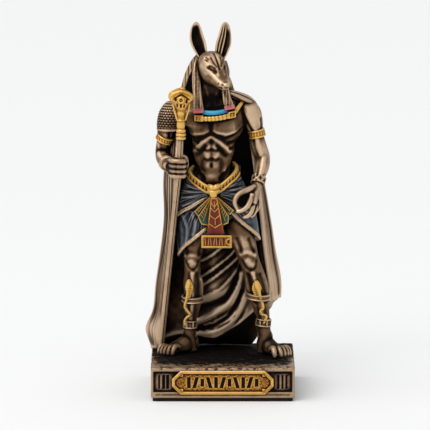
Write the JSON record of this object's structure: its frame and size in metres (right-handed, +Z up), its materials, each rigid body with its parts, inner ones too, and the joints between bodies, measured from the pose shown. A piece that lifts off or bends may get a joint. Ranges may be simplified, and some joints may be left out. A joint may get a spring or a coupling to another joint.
{
  "type": "jackal-headed god figurine",
  "caption": "Small painted resin figurine of a standing jackal-headed god in kilt and long cape, holding a hooded staff, fixed on a low square plinth with a framed plaque.",
  "frame": {"origin": "middle of the flat underside of the pad below the plinth", "axes": "+Z up along the figure's height, -Y the way the figure's chest faces, +X to the figure's own left, the side of the open hand"},
  "size_m": [0.0362, 0.032, 0.0901],
  "materials": {
    "bronze_resin": "satin bronze-coloured resin, dark in the hollows and rubbed lighter on the edges",
    "plinth_resin": "satin bronze-coloured resin with a rough earthy top",
    "black_pad": "matt black",
    "gold_paint": "satin gold paint with a brown wash",
    "blue_grey_paint": "matt blue-grey paint",
    "turquoise_paint": "satin turquoise paint",
    "green_paint": "satin dark green paint",
    "red_paint": "satin deep red paint",
    "rose_paint": "satin rose red paint"
  },
  "bodies": {
    "root": {"figure": "bronze_resin", "plinth": "plinth_resin", "base_pad": "black_pad"}
  },
  "joints": []
}
